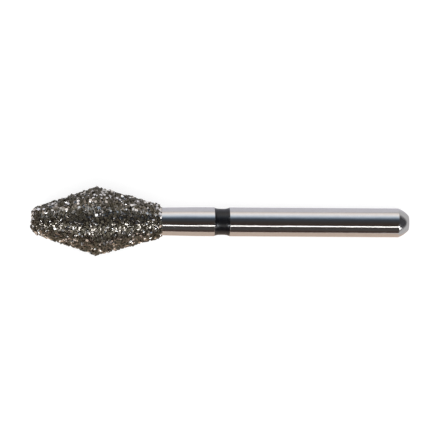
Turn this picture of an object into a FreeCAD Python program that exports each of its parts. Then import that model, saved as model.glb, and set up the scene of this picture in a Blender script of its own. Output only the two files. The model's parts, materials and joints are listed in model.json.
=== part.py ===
import FreeCAD, Part
import math
import os
import random

import Mesh
import Sketcher

V = FreeCAD.Vector

# Driving dimensions in millimetres. Positions run along the axis from the tip of the head.
# The head's diameters are taken over the crystals, as a gauge would measure them.
DIMENSIONS = {
    "overall_length": 21.0,
    "shank_diameter": 1.60,
    "end_dome_length": 0.60,
    "end_dome_radius": 1.36,
    "end_flat_diameter": 0.76,
    "end_corner_radius": 0.16,
    "neck_diameter": 1.54,
    "neck_length": 0.30,
    "neck_taper_length": 1.70,
    "head_length": 7.10,
    "crown_position": 3.64,
    "crown_diameter": 3.84,
    "tip_diameter": 1.39,
    "tip_corner_radius": 0.50,
    "rear_diameter": 1.94,
    "rear_corner_radius": 0.12,
    "rear_face_length": 0.24,
    "bond_thickness": 0.13,
    "crystal_height": 0.07,
    "crystal_spacing": 0.25,
    "groove_position": 10.18,
    "groove_width": 0.83,
    "groove_depth": 0.18,
    "enamel_edge_depth": 0.01,
    "enamel_dip": 0.07,
}

document = FreeCAD.newDocument("dental_bur")


def make_sheet():
    """Sheet named bur, with one named cell for each driving dimension."""
    sheet = document.addObject("Spreadsheet::Sheet", "bur")
    for row, (name, size) in enumerate(DIMENSIONS.items(), start=1):
        sheet.set(f"A{row}", name)
        sheet.set(f"B{row}", str(size))
        sheet.setAlias(f"B{row}", name)
    document.recompute()
    return sheet


bur = make_sheet()

# Lengths that several outlines share
COAT = "(bur.bond_thickness + bur.crystal_height)"
NECK_END = "(bur.head_length + bur.neck_length)"
END_CREASE = "(bur.overall_length - bur.end_dome_length)"
GROOVE_END = "(bur.groove_position + bur.groove_width)"
GROOVE_FLOOR = "(bur.shank_diameter / 2 - bur.groove_depth)"


# Bodies turned about the bur's axis

def new_body(label):
    """Empty body with a label of its own."""
    body = document.addObject("PartDesign::Body", label)
    body.Label = label
    return body


def new_sketch(body, name):
    """Sketch in which across is the place along the bur's axis and up is the radius."""
    sketch = body.newObject("Sketcher::SketchObject", name)
    plane = next(item for item in body.Origin.OriginFeatures if item.Role == "XZ_Plane")
    sketch.AttachmentSupport = (plane, [""])
    sketch.MapMode = "FlatFace"
    return sketch


def hold(sketch, kind, side, end, expression):
    """Ties a corner's distance from the origin to the sheet; zero puts it on the bur's axis."""
    if expression == "0":
        sketch.addConstraint(Sketcher.Constraint("PointOnObject", side, end, -1))
        return
    size = bur.evalExpression(expression)
    constraint = sketch.addConstraint(Sketcher.Constraint(kind, -1, 1, side, end, size))
    sketch.setExpression(f"Constraints[{constraint}]", expression)


def arc_between(first, second, radius):
    """Arc that runs anticlockwise from first to second."""
    half_chord = (second - first) / 2
    rise = math.sqrt(radius ** 2 - half_chord.Length ** 2)
    centre = first + half_chord + V(-half_chord.y, half_chord.x, 0).normalize() * rise
    circle = Part.Circle(centre, V(0, 0, 1), radius)
    return Part.ArcOfCircle(circle, circle.parameter(first), circle.parameter(second))


def draw_outline(sketch, corners, round_side=None, radius="0", clockwise=False):
    """Closed outline through corners, each a pair of expressions, with at most one round side."""
    points = [V(bur.evalExpression(along), bur.evalExpression(out), 0) for along, out in corners]
    starts = [1] * len(points)
    for side, (point, following) in enumerate(zip(points, points[1:] + points[:1])):
        if side != round_side:
            sketch.addGeometry(Part.LineSegment(point, following))
            continue
        ends = (following, point) if clockwise else (point, following)
        starts[side] = 2 if clockwise else 1
        sketch.addGeometry(arc_between(*ends, bur.evalExpression(radius)))
        bend = Sketcher.Constraint("Radius", side, bur.evalExpression(radius))
        sketch.setExpression(f"Constraints[{sketch.addConstraint(bend)}]", radius)
    for side, (along, out) in enumerate(corners):
        before = side - 1 if side else len(corners) - 1
        meeting = (before, 3 - starts[before], side, starts[side])
        sketch.addConstraint(Sketcher.Constraint("Coincident", *meeting))
        hold(sketch, "DistanceX", side, starts[side], along)
        hold(sketch, "DistanceY", side, starts[side], out)


def turn(body, kind, name, sketch):
    """Full turn of a sketch about the bur's axis, adding or cutting."""
    feature = body.newObject(kind, name)
    feature.Profile = (sketch, [""])
    feature.ReferenceAxis = (sketch, ["H_Axis"])
    feature.Angle = 360
    document.recompute()
    return feature


def round_edge(shape, along, radius):
    """Name of the shape's round edge at a place along the axis, such as Edge3."""
    for number, edge in enumerate(shape.Edges, start=1):
        if isinstance(edge.Curve, Part.Circle) and math.isclose(edge.Curve.Radius, radius) \
                and math.isclose(edge.Curve.Center.x, along):
            return f"Edge{number}"
    raise RuntimeError(f"no round edge {along} mm along the axis")


def make_blank():
    """Steel blank in one piece: core of the head, neck, shank, domed end and the ring's groove."""
    body = new_body("bur_blank")
    profile = new_sketch(body, "blank_profile")
    draw_outline(profile, [
        (COAT, "0"),
        (COAT, f"bur.tip_diameter / 2 - {COAT}"),
        ("bur.crown_position", f"bur.crown_diameter / 2 - {COAT}"),
        ("bur.head_length", "bur.neck_diameter / 2"),
        (NECK_END, "bur.neck_diameter / 2"),
        (f"{NECK_END} + bur.neck_taper_length", "bur.shank_diameter / 2"),
        (END_CREASE, "bur.shank_diameter / 2"),
        ("bur.overall_length", "bur.end_flat_diameter / 2"),
        ("bur.overall_length", "0"),
    ], round_side=6, radius="bur.end_dome_radius", clockwise=True)
    turned = turn(body, "PartDesign::Revolution", "turned_blank", profile)

    rim = round_edge(turned.Shape, bur.overall_length, bur.end_flat_diameter / 2)
    rounding = body.newObject("PartDesign::Fillet", "end_corner")
    rounding.Base = (turned, [rim])
    rounding.setExpression("Radius", "bur.end_corner_radius")
    document.recompute()

    groove_section = new_sketch(body, "groove_section")
    draw_outline(groove_section, [
        ("bur.groove_position", GROOVE_FLOOR),
        (GROOVE_END, GROOVE_FLOOR),
        (GROOVE_END, "bur.shank_diameter"),
        ("bur.groove_position", "bur.shank_diameter"),
    ])
    groove = turn(body, "PartDesign::Groove", "ring_groove", groove_section)
    if groove.Shape.Volume >= rounding.Shape.Volume:
        raise RuntimeError("the ring's groove cuts nothing")
    return body


def make_ring():
    """Enamel that fills the groove: it clings to the walls and sinks in the middle."""
    body = new_body("colour_ring")
    section = new_sketch(body, "enamel_section")
    edge = "bur.shank_diameter / 2 - bur.enamel_edge_depth"
    sag = "(bur.enamel_dip - bur.enamel_edge_depth)"
    draw_outline(section, [
        ("bur.groove_position", edge),
        (GROOVE_END, edge),
        (GROOVE_END, GROOVE_FLOOR),
        ("bur.groove_position", GROOVE_FLOOR),
    ], round_side=0, radius=f"bur.groove_width ^ 2 / (8 * {sag}) + {sag} / 2")
    turn(body, "PartDesign::Revolution", "enamel_band", section)
    return body


# Diamond coat: a closed skin of facets that stand up as crystals from the nickel, less the blank

# How far the crystals differ, as shares of the grid's step and of the crystals' height
PLACE_SCATTER = 0.24
TIP_SCATTER = 0.45
BED_SCATTER = 0.30
SCATTER_SEED = 7

# Points that meet in the mesh are joined within this distance, in millimetres
JOINING_DISTANCE = 0.0001


def rounded_path(start, corner, end, radius):
    """Two straight lines joined by an arc that is tangent to both."""
    arriving = (corner - start).normalize()
    leaving = (end - corner).normalize()
    half_turn = arriving.getAngle(leaving) / 2
    reach = radius * math.tan(half_turn)
    middle = corner + (leaving - arriving).normalize() * radius * (1 / math.cos(half_turn) - 1)
    first, last = corner - arriving * reach, corner + leaving * reach
    arc = Part.Arc(first, middle, last).toShape()
    return Part.Wire([Part.makeLine(start, first), arc, Part.makeLine(last, end)])


def head_meridian():
    """Stations half a crystal's spacing apart, from the tip to the root, and the crown's index."""
    tip = V(0, 0, 0)
    tip_corner = V(0, 0, bur.tip_diameter / 2)
    crown = V(bur.crown_position, 0, bur.crown_diameter / 2)
    rear_corner = V(bur.head_length, 0, bur.rear_diameter / 2)
    root = V(bur.head_length + bur.rear_face_length, 0, bur.neck_diameter / 2 - bur.crystal_height)
    stations = []
    for path in (rounded_path(tip, tip_corner, crown, bur.tip_corner_radius),
                 rounded_path(crown, rear_corner, root, bur.rear_corner_radius)):
        steps = max(3, round(2 * path.Length / bur.crystal_spacing))
        crown_index = len(stations) - 1
        stations += path.discretize(Number=steps + 1)[1 if stations else 0:]
    return stations, crown_index


def ring_count(radius):
    """Points round a ring: three to each crystal, on a grid of equal triangles."""
    return 3 * max(2, round(2 * math.pi * radius / (math.sqrt(3) * bur.crystal_spacing)))


def ring_point(place, angle):
    """A place on the meridian carried round the bur's axis, with its angle kept beside it."""
    return V(place.x, -place.z * math.sin(angle), place.z * math.cos(angle)), angle


def ring_angle(place, count):
    """Angle of a place in a ring. The crystals at every third place leave two of them lowest."""
    return math.pi + (place + 1.5) * 2 * math.pi / count


def crystal_ring(row, station, along, scatter):
    """Ring in which every third point is a crystal's tip and the others are its bed.

    Rows count from the crown, whose crystals stand level and evenly spaced for the bur to lie on.
    """
    count = ring_count(station.z)
    outward = V(-along.z, 0, along.x)
    pitch = bur.crystal_spacing / 2
    ring = []
    for place in range(count):
        is_tip = (place - row) % 3 == 0
        level = is_tip and row == 0
        sideways = 0 if level else scatter.uniform(-PLACE_SCATTER, PLACE_SCATTER)
        lengthways = 0 if level else scatter.uniform(-PLACE_SCATTER, PLACE_SCATTER) * pitch
        sunk = scatter.uniform(0, TIP_SCATTER) if is_tip else 1 - scatter.uniform(0, BED_SCATTER)
        depth = 0 if level else sunk * bur.crystal_height
        angle = ring_angle(place + row % 2 / 2 + sideways, count)
        ring.append(ring_point(station + along * lengthways - outward * depth, angle))
    return ring


def crystal_rings():
    """All rings of the head, from the one round the tip's centre to the root inside the neck."""
    stations, crown_index = head_meridian()
    scatter = random.Random(SCATTER_SEED)
    rings = []
    for index in range(1, len(stations) - 1):
        along = (stations[index + 1] - stations[index - 1]).normalize()
        rings.append(crystal_ring(index - crown_index, stations[index], along, scatter))
    root = stations[-1]
    count = ring_count(root.z)
    rings.append([ring_point(root, ring_angle(place, count)) for place in range(count)])
    return stations, rings


def stitch(first, second):
    """Triangles between two rings, which always advance on the ring that lags in angle."""
    triangles = []
    done_first, done_second = 0, 0
    while done_first < len(first) or done_second < len(second):
        from_first, next_first = ring_step(first, done_first)
        from_second, next_second = ring_step(second, done_second)
        if next_first[1] < next_second[1]:
            triangles.append((from_first[0], next_first[0], from_second[0]))
            done_first += 1
        else:
            triangles.append((from_first[0], next_second[0], from_second[0]))
            done_second += 1
    return triangles


def ring_step(ring, done):
    """A ring's point after so many steps, and the one that follows, with its angle unwound."""
    point, angle = ring[(done + 1) % len(ring)]
    turns = (done + 1) // len(ring)
    limit = math.inf if done == len(ring) else angle + 2 * math.pi * turns
    return ring[done % len(ring)], (point, limit)


def cap(centre, ring):
    """Triangles from a centre to a ring, which face the way the ring runs."""
    return [(centre, point[0], following[0]) for point, following in zip(ring, ring[1:] + ring[:1])]


def crystal_skin():
    """Closed solid of the head over its crystals, with a flat back inside the neck."""
    stations, rings = crystal_rings()
    triangles = cap(stations[0], rings[0][::-1])
    for first, second in zip(rings, rings[1:]):
        triangles += stitch(first, second)
    triangles += cap(V(stations[-1].x, 0, 0), rings[-1])
    mesh = Mesh.Mesh([[tuple(corner) for corner in triangle] for triangle in triangles])
    shell = Part.Shape()
    shell.makeShapeFromMesh(mesh.Topology, JOINING_DISTANCE)
    return Part.makeSolid(shell)


def make_coat(blank, pose):
    """Nickel bond and the diamonds that it holds, grown round the core of the head."""
    skin = document.addObject("Part::Feature", "crystal_skin")
    skin.Shape = crystal_skin()
    skin.Placement = pose
    coat = document.addObject("Part::Cut", "diamond_coat")
    coat.Label = "diamond_coat"
    coat.Base = skin
    coat.Tool = blank
    coat.Refine = False
    return coat


# Pose and files

def lying_pose():
    """Lies on two crystals of the crown and on the end's crease, centred over the origin."""
    crown_radius = bur.crown_diameter / 2
    half_step = 3 * math.pi / ring_count(crown_radius)
    crown_radius *= math.cos(half_step)
    span = bur.overall_length - bur.end_dome_length - bur.crown_position
    tilt = math.atan2(crown_radius - bur.shank_diameter / 2, span)
    height = bur.crown_position * math.sin(tilt) + crown_radius * math.cos(tilt)
    centre = V(-bur.overall_length / 2 * math.cos(tilt), 0, height)
    return FreeCAD.Placement(centre, FreeCAD.Rotation(V(0, 1, 0), math.degrees(tilt)))


def check_objects(parts):
    """Stops at any object that failed and at any sub-part with no valid shape."""
    for item in document.Objects:
        if {"Invalid", "Error"} & set(item.State):
            raise RuntimeError(f"{item.Name} is {item.State}")
    for part in parts:
        if part.Shape.isNull() or not part.Shape.isValid():
            raise RuntimeError(f"{part.Label} has no valid shape")


pose = lying_pose()
blank = make_blank()
ring = make_ring()
blank.Placement = pose
ring.Placement = pose
coat = make_coat(blank, pose)
document.recompute()

parts = [blank, coat, ring]
check_objects(parts)
os.makedirs("parts", exist_ok=True)
for part in parts:
    part.Shape.exportStep(f"parts/{part.Label}.step")
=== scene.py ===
import bisect
import bmesh
import bpy
import json
import math
import random
from mathutils import Euler, Matrix, Vector, kdtree, noise


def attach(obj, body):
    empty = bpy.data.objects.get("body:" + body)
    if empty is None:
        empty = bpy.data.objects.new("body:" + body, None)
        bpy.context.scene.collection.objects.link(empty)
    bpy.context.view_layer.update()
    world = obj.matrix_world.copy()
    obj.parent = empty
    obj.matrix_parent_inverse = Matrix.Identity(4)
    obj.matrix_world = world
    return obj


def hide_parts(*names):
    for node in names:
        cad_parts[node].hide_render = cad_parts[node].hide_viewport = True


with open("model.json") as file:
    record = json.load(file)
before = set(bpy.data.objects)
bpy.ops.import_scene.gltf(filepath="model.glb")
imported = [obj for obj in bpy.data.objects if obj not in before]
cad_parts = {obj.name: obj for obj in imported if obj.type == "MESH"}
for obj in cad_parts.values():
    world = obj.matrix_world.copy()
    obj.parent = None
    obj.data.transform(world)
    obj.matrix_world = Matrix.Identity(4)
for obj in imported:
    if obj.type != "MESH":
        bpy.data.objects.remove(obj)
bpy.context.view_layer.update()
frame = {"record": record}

# Steel blank. One bar of stainless steel, turned and then ground true: the core under the
# diamonds, a slim neck, the plain shank that a chuck grips, a shallow groove for the ring, and a
# domed end. Grinding leaves fine marks and a faint waviness; the end is only turned, so duller.

MM = 0.001
GRIP_MIDDLE = 15.705
LENGTH = 21.0
SHANK_RADIUS = 0.80
DOME_START = 20.40
DOME_RADIUS = 1.36
DOME_PARTS = 16
END_FLAT_RADIUS = 0.38
END_CORNER = 0.16
END_CORNER_PARTS = 8
NECK_RADIUS = 0.77
NECK_START = 7.10
NECK_END = 7.40
SHANK_START = 9.10
GROOVE_START = 10.18
GROOVE_END = 11.01
GROOVE_RADIUS = 0.62
CORE_START = 0.20
CORE_TIP_RADIUS = 0.495
CROWN_AT = 3.64
CORE_CROWN_RADIUS = 1.72
EDGE_BREAK = 0.012
BREAK_ANGLE = math.radians(12)
SIDE_HOLD = 0.03
MARK_DEPTH = 0.0004
WAVE_DEPTH = 0.007
CREASE_WIDTH = 0.01
DOME_DULLNESS = 0.07

grip = next(mount for mount in frame["record"]["mounts"] if mount["name"] == "shank")
bur_axis = Vector(grip["axis"])
tip_place = Vector(grip["pos_m"]) - bur_axis * GRIP_MIDDLE * MM
# Carries the bur's own frame, with the tip at zero and the axis along X, to where the bur lies
lying = Matrix.Translation(tip_place) @ bur_axis.to_track_quat("X", "Z").to_matrix().to_4x4()


def bowed(start, end, radius, parts):
    """Points after start along an arc that bulges away from the axis, up to and with end."""
    chord = Vector(end) - Vector(start)
    middle = (Vector(start) + Vector(end)) / 2
    inward = Vector((chord.y, -chord.x)).normalized()
    centre = middle + inward * math.sqrt(radius ** 2 - (chord.length / 2) ** 2)
    first, last = Vector(start) - centre, Vector(end) - centre
    sweep = last.angle_signed(first)
    return [tuple(centre + Matrix.Rotation(sweep * part / parts, 2) @ first)
            for part in range(1, parts + 1)]


def held(outline):
    """The outline with points near the ends of its long sides, so that these shade as straight."""
    points = []
    for start, end in zip(map(Vector, outline), map(Vector, outline[1:])):
        points.append(start)
        if (end - start).length > 4 * SIDE_HOLD:
            reach = (end - start).normalized() * SIDE_HOLD
            points += [start + reach, end - reach]
    return points + [Vector(outline[-1])]


def turned(outline, steps=256, closed=False):
    """Mesh of an outline, in millimetres along and out from the axis, turned round the axis."""
    bm = bmesh.new()
    points = [bm.verts.new((along * MM, 0, out * MM)) for along, out in outline]
    pairs = list(zip(points, points[1:] + points[:1])) if closed else list(zip(points, points[1:]))
    lines = [bm.edges.new(pair) for pair in pairs]
    bmesh.ops.spin(bm, geom=points + lines, cent=(0, 0, 0), axis=(1, 0, 0),
                   angle=math.tau, steps=steps, use_merge=True)
    bmesh.ops.remove_doubles(bm, verts=bm.verts, dist=1e-8)
    bmesh.ops.recalc_face_normals(bm, faces=bm.faces)
    return bm


def break_edges(bm, width):
    """Rounds every edge that is sharper than the break angle."""
    sharp = [edge for edge in bm.edges if edge.calc_face_angle(0) > BREAK_ANGLE]
    bmesh.ops.bevel(bm, geom=sharp, offset=width * MM, segments=2, profile=0.5,
                    affect="EDGES", material=-1, clamp_overlap=True)


def make_piece(name, bm, material, node, smooth=True):
    """Lays a finished mesh where the bur lies, as a piece that stands for a node."""
    bmesh.ops.transform(bm, matrix=lying, verts=bm.verts)
    for face in bm.faces:
        face.smooth = smooth
    mesh = bpy.data.meshes.new(name)
    bm.to_mesh(mesh)
    bm.free()
    mesh.materials.append(material)
    piece = bpy.data.objects.new(name, mesh)
    bpy.context.scene.collection.objects.link(piece)
    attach(piece, "root")
    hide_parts(node)
    return piece


def rounded(before, corner, after, radius, parts):
    """Arc points that round a corner between two straight sides."""
    before, corner, after = Vector(before), Vector(corner), Vector(after)
    arriving, leaving = (corner - before).normalized(), (after - corner).normalized()
    reach = radius * math.tan(arriving.angle(leaving) / 2)
    start, end = corner - arriving * reach, corner + leaving * reach
    return [tuple(start), *bowed(start, end, radius, parts)]


class Wire:
    """A socket of a node tree. Arithmetic on it adds Math nodes."""

    def __init__(self, tree, socket=None):
        self.tree = tree
        self.socket = socket

    def node(self, kind, sockets=None, out=0, stops=None, **settings):
        """Adds a node: its settings and stops first, then each socket as a value or a wire."""
        made = self.tree.nodes.new("ShaderNode" + kind)
        for name, setting in settings.items():
            setattr(made, name, setting)
        for index, (place, colour) in enumerate(stops or []):
            ramp = made.color_ramp.elements
            stop = ramp[index] if index < 2 else ramp.new(place)
            stop.position = place
            stop.color = (*colour, 1)
        for name, value in (sockets or {}).items():
            if isinstance(value, Wire):
                self.tree.links.new(value.socket, made.inputs[name])
            else:
                made.inputs[name].default_value = value
        return Wire(self.tree, made.outputs[out] if made.outputs else None)

    def math(self, operation, *values):
        return self.node("Math", dict(enumerate(values)), operation=operation)

    def mix(self, first, second):
        """Colour between two others, with this wire as the factor."""
        return self.node("Mix", {0: self, 6: first, 7: second}, out=2, data_type="RGBA")

    def part(self, axis):
        """One part of a vector: X, Y or Z."""
        return self.node("SeparateXYZ", {0: self}, out=axis)

    def size(self):
        """The number without its sign."""
        return self.math("ABSOLUTE", self)

    def rise(self, start, end):
        """Zero up to the start, one from the end on, and straight between them."""
        return self.node("MapRange", {"Value": self, "From Min": start, "From Max": end})

    def __add__(self, other):
        return self.math("ADD", self, other)

    __radd__ = __add__

    def __sub__(self, other):
        return self.math("SUBTRACT", self, other)

    def __rsub__(self, other):
        return self.math("SUBTRACT", other, self)

    def __mul__(self, other):
        return self.math("MULTIPLY", self, other)

    __rmul__ = __mul__


def bur_material(name):
    """New material, and the place on the bur in millimetres: X along its axis from the tip."""
    material = bpy.data.materials.new(name)
    material.use_nodes = True
    material.node_tree.nodes.clear()
    start = Wire(material.node_tree)
    into_bur = lying.inverted()
    place = start.node("TexCoord", out="Object").node("Mapping", {
        "Vector": start.node("TexCoord", out="Object"),
        "Location": into_bur.to_translation() / MM,
        "Rotation": into_bur.to_euler(),
        "Scale": (1 / MM, 1 / MM, 1 / MM),
    })
    return material, place


def shaded(sockets):
    """Principled surface from its sockets, led to the material's output."""
    any_wire = next(value for value in sockets.values() if isinstance(value, Wire))
    surface = any_wire.node("BsdfPrincipled", sockets)
    surface.node("OutputMaterial", {"Surface": surface})


def stretched(place, along, across):
    """The place on the bur with its patterns stretched along or across the axis."""
    return place.node("VectorMath", {0: place, 1: (along, across, across)}, operation="MULTIPLY")


def mottled(place, detail, scale=1.0):
    """Soft uneven pattern over a piece."""
    return place.node("TexNoise", {"Vector": place, "Scale": scale, "Detail": detail})


def relief(height, depth, strength=1.0, over=None):
    """Fine relief of a depth in millimetres from a pattern, over a coarser one if it is given."""
    sockets = {"Height": height, "Strength": strength, "Distance": depth * MM}
    if over is not None:
        sockets["Normal"] = over
    return height.node("Bump", sockets)


steel, place = bur_material("ground_steel")
marks = mottled(stretched(place, 60.0, 1.6), detail=4.0)
waves = mottled(stretched(place, 0.9, 1.4), detail=2.0)
haze = mottled(stretched(place, 3.0, 5.0), detail=6.0)
on_dome = place.math("GREATER_THAN", place.part("X"), DOME_START + CREASE_WIDTH)
shaded({
    "Base Color": haze.mix((0.60, 0.585, 0.57, 1), (0.68, 0.67, 0.66, 1)),
    "Metallic": 1.0,
    "Roughness": 0.06 + haze * 0.07 + marks * 0.04 + on_dome * DOME_DULLNESS,
    "Normal": relief(marks, MARK_DEPTH, over=relief(waves, WAVE_DEPTH)),
})

dome = bowed((DOME_START, SHANK_RADIUS), (LENGTH, END_FLAT_RADIUS), DOME_RADIUS, DOME_PARTS)
blank = turned(held([
    (CORE_START, 0),
    (CORE_START, CORE_TIP_RADIUS),
    (CROWN_AT, CORE_CROWN_RADIUS),
    (NECK_START, NECK_RADIUS),
    (NECK_END, NECK_RADIUS),
    (SHANK_START, SHANK_RADIUS),
    (GROOVE_START, SHANK_RADIUS),
    (GROOVE_START, GROOVE_RADIUS),
    (GROOVE_END, GROOVE_RADIUS),
    (GROOVE_END, SHANK_RADIUS),
    (DOME_START, SHANK_RADIUS),
    *dome[:-2],
    *rounded(dome[-2], dome[-1], (LENGTH, 0), END_CORNER, END_CORNER_PARTS),
    (LENGTH, 0),
]))
break_edges(blank, EDGE_BREAK)
make_piece("steel_blank", blank, steel, "bur_blank")

# Nickel bond. The head is plated with nickel in a bath while the crystals lie against it, and
# the metal grows up between them and climbs their sides. It ends in a rounded run-out on the
# neck. It is brownish grey, half bright and finely nodular.

TIP_RADIUS = 0.695
TIP_CORNER = 0.50
TIP_CORNER_PARTS = 12
CROWN_RADIUS = 1.92
HEAD_LENGTH = 7.10
REAR_RADIUS = 0.97
REAR_CORNER = 0.12
REAR_CORNER_PARTS = 6
COAT_END = 7.34
STATION_STEP = 0.036
PROTRUSION = 0.095
CRYSTAL_SPACING = 0.147
CRYSTAL_TRIES = 60000
COLLAR_HEIGHT = 0.022
COLLAR_REACH = 0.090
SWELL_HEIGHT = 0.020
SWELL_SIZE = 0.28
NODULE_DEPTH = 0.003
FINE_STEPS = 300
SCATTER_SEED = 11


def head_stations():
    """Even places along the head's outline over the crystals, each with its outward way."""
    tip, tip_corner = Vector((0, 0)), Vector((0, TIP_RADIUS))
    crown, rear_corner = Vector((CROWN_AT, CROWN_RADIUS)), Vector((HEAD_LENGTH, REAR_RADIUS))
    root = Vector((COAT_END, NECK_RADIUS - PROTRUSION / 2))
    outline = [Vector(point) for point in (
        tip, *rounded(tip, tip_corner, crown, TIP_CORNER, TIP_CORNER_PARTS), crown,
        *rounded(crown, rear_corner, root, REAR_CORNER, REAR_CORNER_PARTS), root)]
    places = []
    for start, end in zip(outline, outline[1:]):
        steps = max(1, round((end - start).length / STATION_STEP))
        way = (end - start).normalized()
        outward = Vector((-way.y, way.x))
        places += [(start.lerp(end, step / steps), outward) for step in range(steps)]
    return places + [(root, outward)]


def around(point, angle):
    """A place or a way on the outline, carried round the axis into space."""
    return Vector((point.x, -point.y * math.sin(angle), point.y * math.cos(angle)))


stations = head_stations()
chance = random.Random(SCATTER_SEED)


def scatter_crystals():
    """Random seats on the head, no two nearer than the spacing: each has a place and a way out."""
    areas = [0.0]
    for (first, _), (second, _) in zip(stations, stations[1:]):
        areas.append(areas[-1] + (first.y + second.y) * (second - first).length)
    seats, grid = [], {}
    for _ in range(CRYSTAL_TRIES):
        index = min(bisect.bisect(areas, chance.random() * areas[-1]), len(stations) - 1)
        before, outward = stations[index - 1]
        point = stations[index][0].lerp(before, chance.random())
        angle = chance.uniform(0, math.tau)
        seat = around(point, angle)
        cell = tuple(math.floor(value / CRYSTAL_SPACING) for value in seat)
        near = (grid.get((cell[0] + i, cell[1] + j, cell[2] + k), ())
                for i in (-1, 0, 1) for j in (-1, 0, 1) for k in (-1, 0, 1))
        if any((seat - other).length < CRYSTAL_SPACING for group in near for other in group):
            continue
        grid.setdefault(cell, []).append(seat)
        seats.append((seat, around(outward, angle)))
    return seats


seats = scatter_crystals()
seat_tree = kdtree.KDTree(len(seats))
for number, (seat, way) in enumerate(seats):
    seat_tree.insert(seat - way * PROTRUSION, number)
seat_tree.balance()

bond = turned([
    (0, 0),
    *(tuple(point - outward * PROTRUSION) for point, outward in stations[1:-1]),
    (COAT_END, NECK_RADIUS - PROTRUSION),
], steps=FINE_STEPS)
bond.normal_update()
for vertex in bond.verts:
    spot = vertex.co / MM
    _, _, gap = seat_tree.find(spot)
    collar = COLLAR_HEIGHT * math.exp(-(gap / COLLAR_REACH) ** 2)
    swell = SWELL_HEIGHT * noise.noise(spot / SWELL_SIZE)
    vertex.co += vertex.normal * (collar + swell) * MM

nickel, place = bur_material("plated_nickel")
nodules = mottled(place, detail=5.0, scale=38.0)
patches = mottled(place, detail=3.0, scale=1.3)
shaded({
    "Base Color": patches.mix((0.195, 0.172, 0.146, 1), (0.33, 0.297, 0.258, 1)),
    "Metallic": 1.0,
    "Roughness": 0.06 + nodules * 0.12,
    "Normal": relief(nodules, NODULE_DEPTH, strength=0.6),
})
make_piece("nickel_bond", bond, nickel, "diamond_coat")

# Diamond crystals. Each is a blocky synthetic diamond with its corners cut, about 0.15 mm
# across, held by the nickel round its lower half. They lie nearly flat, turned every way. Most
# are dull and brown, and about one in four is bright and mirrors the lamps.

CRYSTAL_SIZE = 0.150
SIZE_SPREAD = 0.26
CORNER_CUTS = (0.14, 0.20, 0.26, 0.32, 0.40, 0.46)
SHAPES_PER_CUT = 3
CHIPPING = 0.045
SINK = 0.024
SINK_SPREAD = 0.024
LEAN_SPREAD = math.radians(5)
SEATED_SHARE = 0.55
CORNER_UP_SHARE = 0.4
DULL_SHARE = 0.73
STEP_DEPTH = 0.003
# Turns a crystal from lying on a face to standing with a corner up
CORNER_UP = Vector((1, 1, 1)).to_track_quat("Z", "Y").inverted().to_matrix().to_4x4()

shapes = []
for cut in CORNER_CUTS * SHAPES_PER_CUT:
    shape = bmesh.new()
    bmesh.ops.create_cube(shape, size=1)
    bmesh.ops.bevel(shape, geom=shape.verts[:], offset=cut, segments=1, profile=0.5,
                    affect="VERTICES", material=-1)
    bmesh.ops.triangulate(shape, faces=shape.faces[:])
    for vertex in shape.verts:
        vertex.co += Vector([chance.uniform(-CHIPPING, CHIPPING) for _ in range(3)])
    shape.verts.layers.float.new("tone")
    shapes.append(shape)

crystals = bmesh.new()
crystals.verts.layers.float.new("tone")
laid = bpy.data.meshes.new("laid_crystal")
for seat, way in seats:
    crystal = chance.choice(shapes).copy()
    size = CRYSTAL_SIZE * (1 + chance.uniform(-SIZE_SPREAD, SIZE_SPREAD))
    proportions = [size * (1 + chance.uniform(-SIZE_SPREAD, SIZE_SPREAD)) for _ in range(3)]
    centre = seat - way * (size * SEATED_SHARE + chance.gauss(SINK, SINK_SPREAD))
    lean = Euler((chance.gauss(0, LEAN_SPREAD), chance.gauss(0, LEAN_SPREAD), 0))
    turn = way.to_track_quat("Z", "Y").to_matrix().to_4x4() @ lean.to_matrix().to_4x4() \
        @ Matrix.Rotation(chance.uniform(0, math.tau), 4, "Z")
    if chance.random() < CORNER_UP_SHARE:
        turn = turn @ CORNER_UP
    placing = Matrix.Translation(centre * MM) @ turn @ Matrix.Diagonal((*proportions, 1)) \
        @ Matrix.Diagonal((MM, MM, MM, 1))
    bmesh.ops.transform(crystal, matrix=placing, verts=crystal.verts)
    # A crystal under the head that would reach into the floor is lifted on to it
    under_floor = min(0, *((lying @ vertex.co).z for vertex in crystal.verts))
    lift = lying.inverted().to_3x3() @ Vector((0, 0, -under_floor))
    bmesh.ops.translate(crystal, vec=lift, verts=crystal.verts)
    tone = chance.random()
    layer = crystal.verts.layers.float["tone"]
    for vertex in crystal.verts:
        vertex[layer] = tone
    crystal.to_mesh(laid)
    crystals.from_mesh(laid)
    crystal.free()

diamond, place = bur_material("diamond")
tone = place.node("Attribute", out="Fac", attribute_name="tone")
cloud = mottled(place, detail=3.0, scale=14.0)
bright = tone.math("GREATER_THAN", tone, DULL_SHARE)
growth_steps = place.node("TexVoronoi", {"Vector": place, "Scale": 16.0}, out="Distance")
hue = tone.node("ValToRGB", {"Fac": tone}, stops=[
    (0.0, (0.008, 0.006, 0.0035)),
    (1.0, (0.95, 0.93, 0.90)),
    (0.50, (0.021, 0.016, 0.009)),
    (DULL_SHARE - 0.01, (0.038, 0.030, 0.018)),
    (DULL_SHARE + 0.01, (0.58, 0.56, 0.53)),
])
shaded({
    "Base Color": hue,
    "Metallic": bright,
    "IOR": 2.42,
    "Specular IOR Level": 0.36,
    "Specular Tint": (1.0, 0.91, 0.72, 1),
    "Roughness": 0.40 - bright * 0.33 + cloud * 0.10,
    "Normal": relief(growth_steps, STEP_DEPTH),
})
make_piece("diamond_crystals", crystals, diamond, "diamond_coat",
           smooth=False)

# Colour ring. A band of black baked enamel fills the groove and tells the grain of the
# diamonds. It was laid on wet: it clings to the groove's walls and sinks in the middle.

ENAMEL_EDGE = 0.790
ENAMEL_SAG = 0.068
SAG_POWER = 3
SAG_PARTS = 24
CLIMB_POWER = 4.0
FLOW_DEPTH = 0.006

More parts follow.
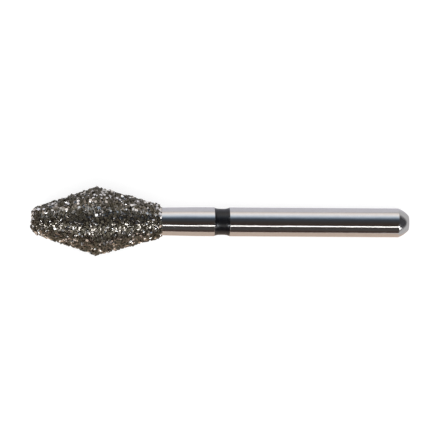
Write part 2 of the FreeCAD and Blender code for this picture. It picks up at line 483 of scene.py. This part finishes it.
half_width = (GROOVE_END - GROOVE_START) / 2
hollow = [(GROOVE_START + 2 * half_width * part / SAG_PARTS,
           ENAMEL_EDGE - ENAMEL_SAG * (1 - abs(2 * part / SAG_PARTS - 1) ** SAG_POWER))
          for part in range(SAG_PARTS + 1)]
ring = turned([(GROOVE_START, GROOVE_RADIUS), *hollow, (GROOVE_END, GROOVE_RADIUS)],
              steps=FINE_STEPS, closed=True)

enamel, place = bur_material("black_enamel")
flow = mottled(stretched(place, 3.0, 2.0), detail=2.0)
from_middle = place.part("X") - (GROOVE_START + half_width)
climb = place.math("POWER", (from_middle * (1 / half_width)).size(), CLIMB_POWER)
shaded({
    "Base Color": flow.mix((0.002, 0.002, 0.003, 1), (0.004, 0.004, 0.005, 1)),
    "Roughness": 0.29 - climb * 0.19,
    "Normal": relief(flow, FLOW_DEPTH),
})
make_piece("enamel_ring", ring, enamel, "colour_ring")

# Floor and light. A pale floor, a bright low sky on the far side and a dark one overhead. In
# reflections the floor shows painted shade: warm and dim on the near side, cool on the far side
# and darker past the shank's end. One long thin lamp runs beside the bur. Small lamps past its
# ends and corners light the head's cones and the ring's edges, and a wide one overhead fills the
# shadow on the floor.

FLOOR_SIZE = 4.0
PAINTED_SHADE_FADE = 0.0025
PAINTED_END_SHADE_FADE = (0.0103, 0.0113)
SKY_END_FADE = (0.50, 0.68)
LOW_SKY_FADE = (0.28, 0.04)
SIDE_SKY_FADE = (0.28, 0.60)
STRIP_LEAN = math.radians(33)
STRIP_DISTANCE = 0.25
STRIP_END_DISTANCE = 0.29
SMALL_LAMP_DISTANCE = 0.30
FILL_SIZE = 0.60

floor_mesh = bmesh.new()
bmesh.ops.create_grid(floor_mesh, x_segments=2, y_segments=2, size=FLOOR_SIZE / 2)
floor_data = bpy.data.meshes.new("floor")
floor_mesh.to_mesh(floor_data)
floor_mesh.free()
floor = bpy.data.objects.new("floor", floor_data)
bpy.context.scene.collection.objects.link(floor)

paper = bpy.data.materials.new("pale_floor")
paper.use_nodes = True
paper.node_tree.nodes.clear()
start = Wire(paper.node_tree)
seen = start.node("LightPath", out="Is Camera Ray")
mirrored = start.node("LightPath", out="Is Glossy Ray")
through = start.node("LightPath", out="Is Transmission Ray")
spot = start.node("TexCoord", out="Object")
# Painted shade in the floor's reflection, seen only by glossy and transmission rays: warm and dim
# on the -Y side, as if shaded from the bright far sky, and cool and brighter on the +Y side, as if
# lit by it. Past X = 10.3 mm it turns to a darker grey, a painted shade that the domed end
# mirrors.
painted_lit_side = spot.part("Y") * (1 / PAINTED_SHADE_FADE) + 0.5
painted_floor_reflection = painted_lit_side.node("Clamp", {"Value": painted_lit_side}).mix((0.26, 0.12, 0.03, 1),
                                                       (0.27, 0.265, 0.33, 1))
painted_floor_reflection = spot.part("X").rise(*PAINTED_END_SHADE_FADE).mix(painted_floor_reflection, (0.16, 0.155, 0.17, 1))
glow = start.node("Emission", {
    "Color": seen.mix(painted_floor_reflection, (0.7, 0.7, 0.7, 1)),
    "Strength": seen.math("MAXIMUM", seen, mirrored.math("MAXIMUM", mirrored, through)),
})
matt = start.node("BsdfDiffuse", {"Color": (0.375, 0.375, 0.375, 1)})
start.node("OutputMaterial", {"Surface": start.node("AddShader", {0: glow, 1: matt})})
floor_data.materials.append(paper)

world = bpy.data.worlds.new("studio")
bpy.context.scene.world = world
world.use_nodes = True
world.node_tree.nodes.clear()
start = Wire(world.node_tree)
way = start.node("TexCoord", out="Generated")
across, upward = way.part("Y"), way.part("Z")
swing = across.math("ARCTAN2", across, upward) * (1 / math.pi) + 0.5
sky = swing.node("ValToRGB", {"Fac": swing}, stops=[
    (0.00, (0.080, 0.045, 0.035)),
    (1.00, (0.70, 0.68, 0.67)),
    (0.17, (0.085, 0.080, 0.078)),
    (0.41, (0.055, 0.039, 0.031)),
    (0.50, (0.055, 0.050, 0.048)),
    (0.63, (0.060, 0.073, 0.095)),
    (0.685, (0.18, 0.23, 0.30)),
    (0.735, (0.50, 0.59, 0.71)),
    (0.79, (0.91, 1.0, 1.1)),
    (0.87, (1.22, 1.17, 1.16)),
    (0.94, (0.99, 0.91, 0.87)),
])
low_corners = upward.rise(*LOW_SKY_FADE) * across.size().rise(*SIDE_SKY_FADE)
ends = low_corners.mix((0.065, 0.065, 0.072, 1), (0.40, 0.40, 0.42, 1))
sky = way.part("X").size().rise(*SKY_END_FADE).mix(sky, ends)
seen = start.node("LightPath", out="Is Camera Ray")
background = start.node("Background", {"Color": seen.mix(sky, (1, 1, 1, 1)), "Strength": 1.0})
start.node("OutputWorld", {"Surface": background})


def soft_lamp(name, place, size, radiance, colour=(1, 1, 1)):
    """Rectangular lamp that faces the bur. Its long side lies along X."""
    data = bpy.data.lights.new(name, "AREA")
    data.shape = "RECTANGLE"
    data.size, data.size_y = size
    data.energy = radiance * math.pi * size[0] * size[1]
    data.color = colour
    lamp = bpy.data.objects.new(name, data)
    facing = place.to_track_quat("Z", "X").to_matrix().to_4x4()
    lamp.matrix_world = Matrix.Translation(place) @ facing \
        @ Matrix.Rotation(math.radians(90), 4, "Z")
    bpy.context.scene.collection.objects.link(lamp)
    return lamp


strip_way = Vector((0, -math.sin(STRIP_LEAN), math.cos(STRIP_LEAN)))
soft_lamp("strip_lamp", strip_way * STRIP_DISTANCE, (0.50, 0.020), 3.9)
for end, radiance in ((1, 3.0), (-1, 4.0)):
    corner_way = Vector((end * 0.70, -0.61, 0.38))
    soft_lamp("corner_lamp", corner_way * SMALL_LAMP_DISTANCE, (0.075, 0.075), radiance)
for along, radiance in ((-0.47, 6.6), (0.54, 10.0)):
    end_way = Vector((along, strip_way.y, strip_way.z)).normalized()
    soft_lamp("strip_end_lamp", end_way * STRIP_END_DISTANCE, (0.085, 0.045), radiance,
              (0.88, 0.94, 1))
soft_lamp("glint_lamp", Vector((-0.58, 0.42, 0.70)) * SMALL_LAMP_DISTANCE, (0.05, 0.05), 2.6)
fill = soft_lamp("fill_lamp", Vector((0, 0, FILL_SIZE)), (FILL_SIZE, FILL_SIZE), 3.0,
                 (1, 0.99, 0.97))
fill.visible_glossy = False

# Camera. It looks straight down on the lying bur from half a metre, as in the photograph, and
# turns and shifts so that the tip and the shank's end come where they are there.

FRAME_PIXELS = 430
PIXELS_PER_MM = 18.04
TIP_PIXEL = Vector((31.45, 220.63))
END_PIXEL = Vector((408.7, 223.0))
CAMERA_HEIGHT = 0.50
SENSOR_WIDTH = 36.0
NEAREST, FARTHEST = 0.01, 20.0

camera_data = bpy.data.cameras.new("camera")
camera = bpy.data.objects.new("camera", camera_data)
bpy.context.scene.collection.objects.link(camera)
bpy.context.scene.camera = camera
middle = lying @ Vector((LENGTH / 2 * MM, 0, 0))
roll = math.atan2(END_PIXEL.y - TIP_PIXEL.y, END_PIXEL.x - TIP_PIXEL.x)
off_centre = (TIP_PIXEL + END_PIXEL) / 2 - Vector((FRAME_PIXELS / 2, FRAME_PIXELS / 2))
shift = Matrix.Rotation(roll, 2) @ (Vector((-off_centre.x, off_centre.y)) / PIXELS_PER_MM * MM)
camera.location = (middle.x + shift.x, middle.y + shift.y, middle.z + CAMERA_HEIGHT)
camera.rotation_euler = (0, 0, roll)
camera_data.sensor_width = SENSOR_WIDTH
camera_data.lens = SENSOR_WIDTH * CAMERA_HEIGHT / (FRAME_PIXELS / PIXELS_PER_MM * MM)
camera_data.clip_start = NEAREST
camera_data.clip_end = FARTHEST

bpy.context.scene.view_settings.view_transform = "Standard"
